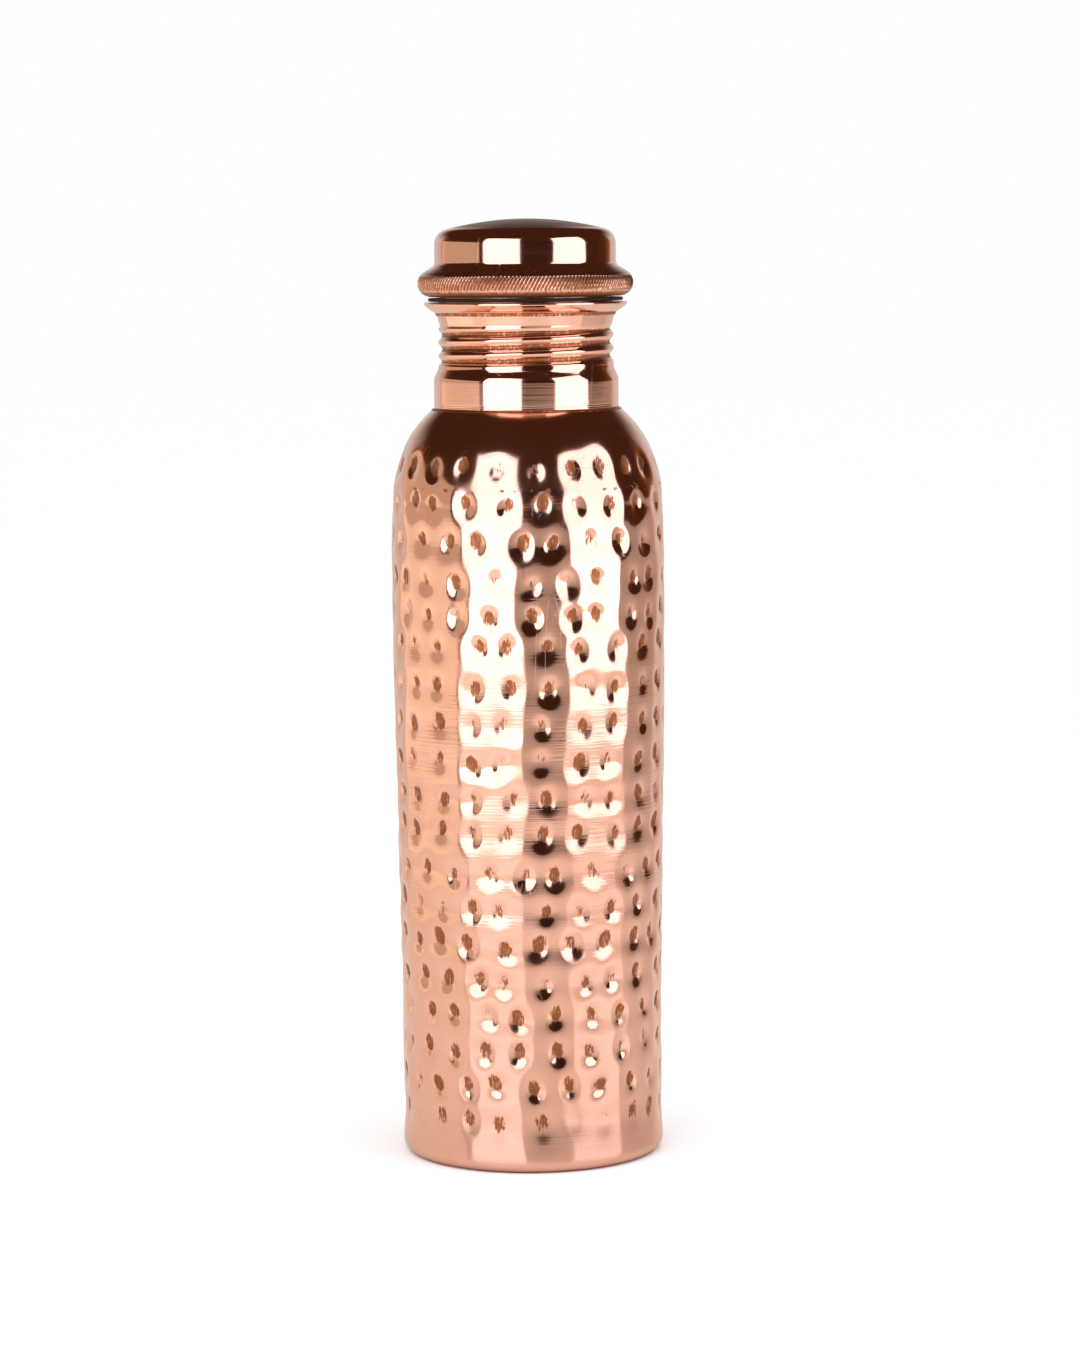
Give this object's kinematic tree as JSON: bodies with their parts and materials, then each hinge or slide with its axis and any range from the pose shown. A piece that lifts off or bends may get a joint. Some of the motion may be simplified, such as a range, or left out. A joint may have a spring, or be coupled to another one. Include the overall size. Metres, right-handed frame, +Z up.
{
  "type": "water bottle",
  "caption": "Hammered copper drinking bottle: tapered barrel, domed shoulder, rolled-thread neck and a screw cap with a dome and a knurled bead.",
  "frame": {"origin": "centre of the foot, on the surface that the bottle stands on", "axes": "+Z up along the bottle's axis, from foot to cap; +X and +Y are any two radial directions, with a crest of the thread's start on +X"},
  "size_m": [0.0776, 0.0776, 0.2655],
  "materials": {
    "hammered_copper": "hammered, brushed and lacquered, with brown tarnish in the dents",
    "spun_copper": "spun, with fine turning lines",
    "polished_copper": "mirror polish with light scratches",
    "plain_copper": "unpolished, slightly dull",
    "silicone": "matt translucent silicone"
  },
  "bodies": {
    "bottle": {"barrel": "hammered_copper", "base_pan": "hammered_copper", "shoulder": "spun_copper", "neck_collar": "polished_copper", "lip_ring": "polished_copper"},
    "gasket": {"sealing_gasket": "silicone"},
    "cap": {"cap_shell": "polished_copper", "thread_sleeve": "plain_copper"}
  },
  "joints": [
    {"name": "cap_lift", "type": "slide", "parent": "bottle", "child": "gasket", "axis": [0, 0, 1], "range_m": [0, 0.0212]},
    {"name": "cap_turn", "type": "hinge", "parent": "gasket", "child": "cap", "pos_m": [0, 0, 0.2421], "axis": [0, 0, 1], "range_deg": [0, 1980]}
  ],
  "couplings": [
    {"joint": "cap_lift", "follows": "cap_turn", "m_per_rad": 0.00061275}
  ]
}
